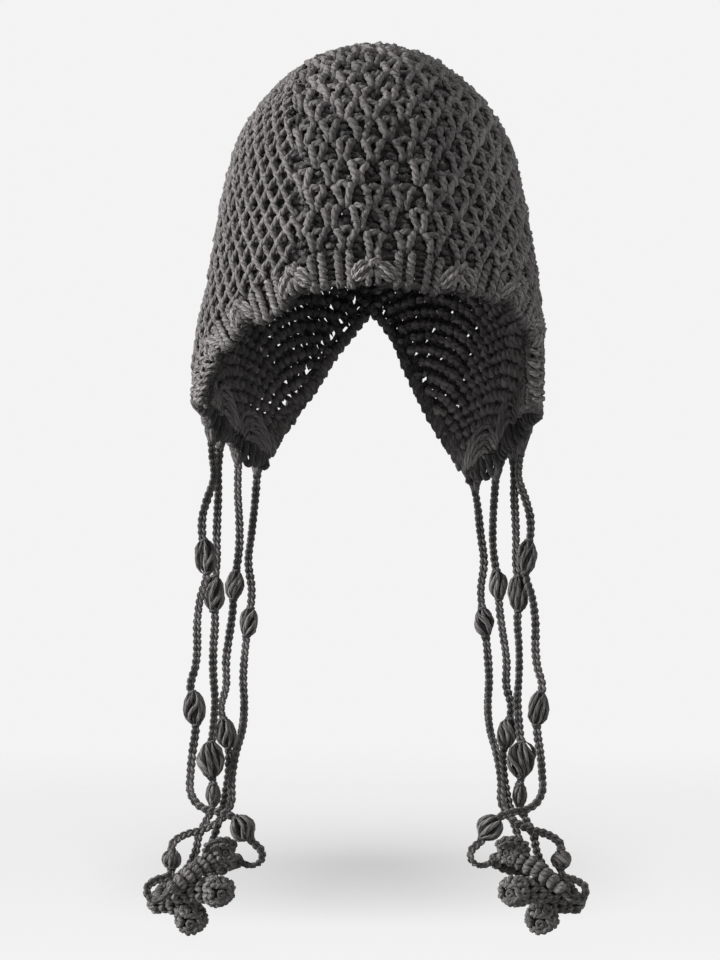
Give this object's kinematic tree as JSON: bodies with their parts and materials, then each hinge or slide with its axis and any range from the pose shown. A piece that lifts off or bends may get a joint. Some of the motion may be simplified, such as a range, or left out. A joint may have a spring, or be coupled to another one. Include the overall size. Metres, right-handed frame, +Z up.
{
  "type": "knitted earflap beanie",
  "caption": "Open knitted beanie with long rounded earflaps, ribbed scalloped face border, open nape notch and hanging crochet ties with puffs and curled ends.",
  "frame": {"origin": "middle of the head that wears the hat, level with the front brim's upper fold: the mount named head", "axes": "+Z up along the head, the face opening towards -Y, the hat's own left flap on -X as seen from the front"},
  "size_m": [0.2662, 0.2278, 0.5286],
  "materials": {
    "knit": "matt chunky yarn, charcoal grey",
    "border_knit": "matt chunky yarn in ribs, charcoal grey",
    "cord": "matt crochet cord and puffs, charcoal grey"
  },
  "bodies": {
    "root": {"knitted_crown_and_flaps": "knit", "face_border_band": "border_knit", "left_gathered_hem": "knit", "right_gathered_hem": "knit", "left_tie_a": "cord", "left_tie_a_puff_1": "cord", "left_tie_a_puff_2": "cord", "left_tie_a_puff_3": "cord", "left_tie_a_curled_end": "cord", "left_tie_b": "cord", "left_tie_b_puff_1": "cord", "left_tie_b_puff_2": "cord", "left_tie_b_puff_3": "cord", "left_tie_b_curled_end": "cord", "left_tie_c": "cord", "left_tie_c_puff_1": "cord", "left_tie_c_puff_2": "cord", "left_tie_c_curled_end": "cord", "left_tie_d": "cord", "left_tie_d_puff_1": "cord", "left_tie_d_puff_2": "cord", "left_tie_d_curled_end": "cord", "right_tie_a": "cord", "right_tie_a_puff_1": "cord", "right_tie_a_puff_2": "cord", "right_tie_a_puff_3": "cord", "right_tie_a_curled_end": "cord", "right_tie_b": "cord", "right_tie_b_puff_1": "cord", "right_tie_b_puff_2": "cord", "right_tie_b_puff_3": "cord", "right_tie_b_curled_end": "cord", "right_tie_c": "cord", "right_tie_c_puff_1": "cord", "right_tie_c_puff_2": "cord", "right_tie_c_curled_end": "cord", "right_tie_d": "cord", "right_tie_d_puff_1": "cord", "right_tie_d_puff_2": "cord", "right_tie_d_curled_end": "cord"}
  },
  "joints": []
}
